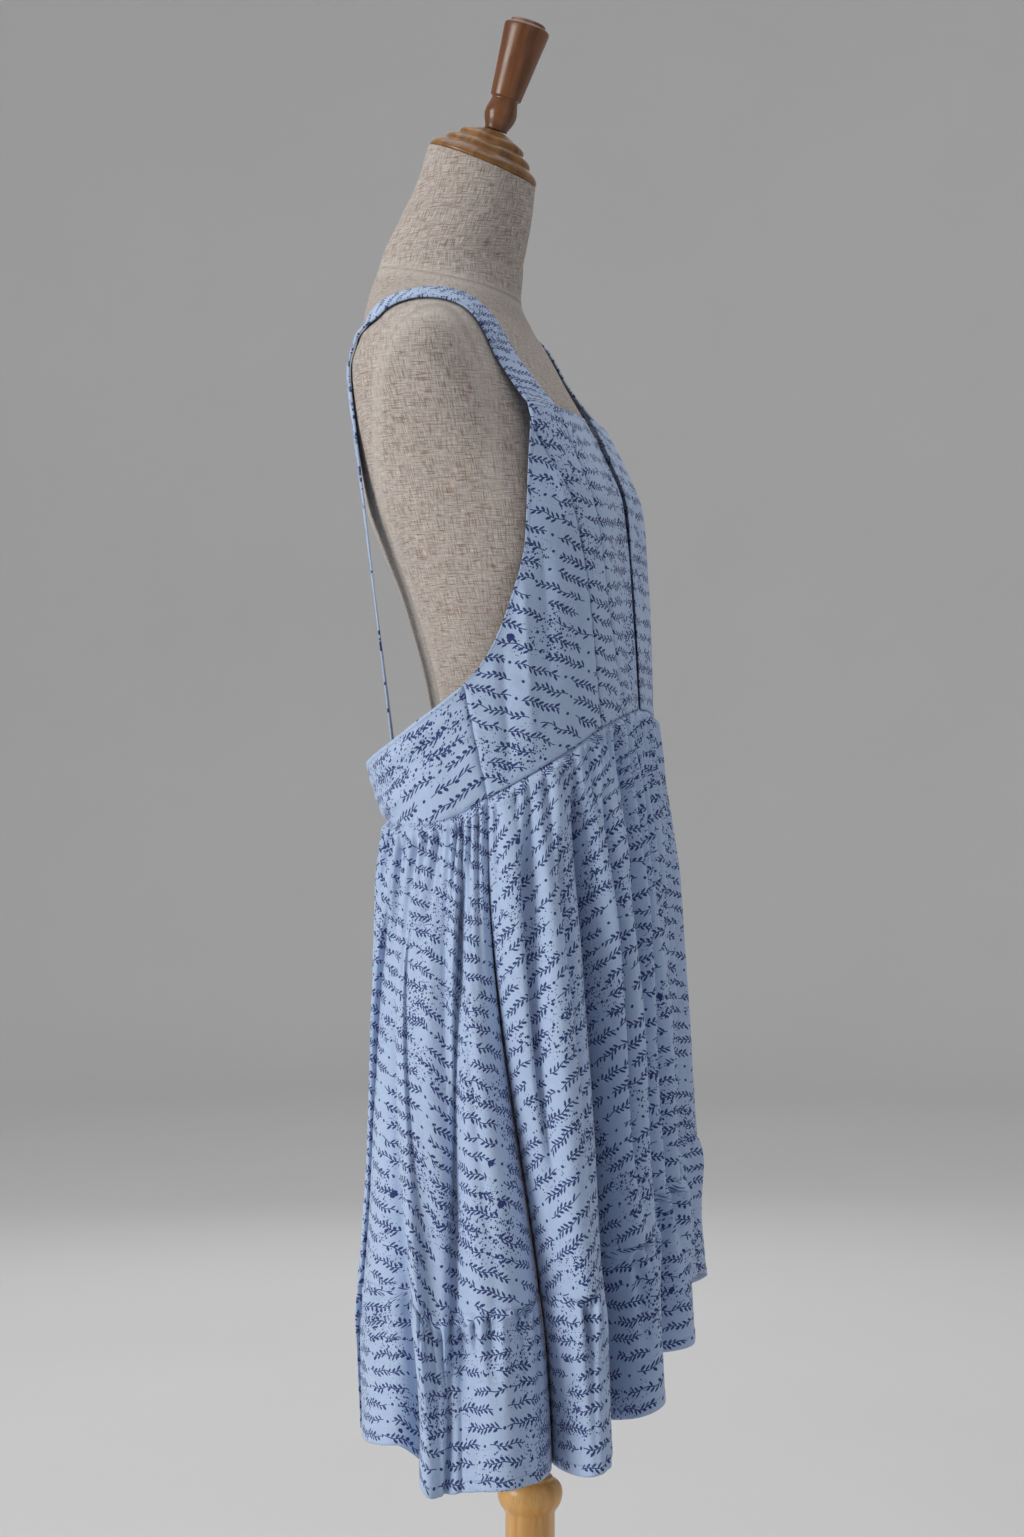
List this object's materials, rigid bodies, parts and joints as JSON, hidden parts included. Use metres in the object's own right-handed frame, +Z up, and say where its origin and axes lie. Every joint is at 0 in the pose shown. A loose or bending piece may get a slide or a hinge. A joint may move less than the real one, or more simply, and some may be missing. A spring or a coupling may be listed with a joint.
{
  "type": "pinafore dress on a limbless dress form with a wooden stand",
  "caption": "Gathered pinafore dress with a bib, straps, a deep back band and a ruffled hem, on a linen dress form with a turned wooden stand.",
  "frame": {"origin": "centre of the foot's underside, on the pole's axis", "axes": "+Z up along the pole; the wearer's front faces -Y and the wearer's left is +X"},
  "size_m": [0.5616, 0.38, 1.5963],
  "materials": {
    "printed_cloth": "matt pale blue woven cloth with a small dark blue leaf-sprig print",
    "linen_cover": "plain natural linen",
    "honey_wood": "satin varnish",
    "dark_wood": "gloss varnish",
    "pale_wood": "gloss varnish"
  },
  "bodies": {
    "root": {"front_right": "printed_cloth", "front_left": "printed_cloth", "strap_panel_right": "printed_cloth", "strap_panel_left": "printed_cloth", "side_panel_right": "printed_cloth", "side_panel_left": "printed_cloth", "back_band": "printed_cloth", "strap_right": "printed_cloth", "strap_left": "printed_cloth", "skirt_front": "printed_cloth", "skirt_back": "printed_cloth", "ruffle_front": "printed_cloth", "ruffle_back": "printed_cloth", "form_torso": "linen_cover", "neck_cap": "honey_wood", "neck_handle": "dark_wood", "upper_pole": "pale_wood", "lower_pole": "pale_wood", "stand_foot": "pale_wood"}
  },
  "joints": []
}
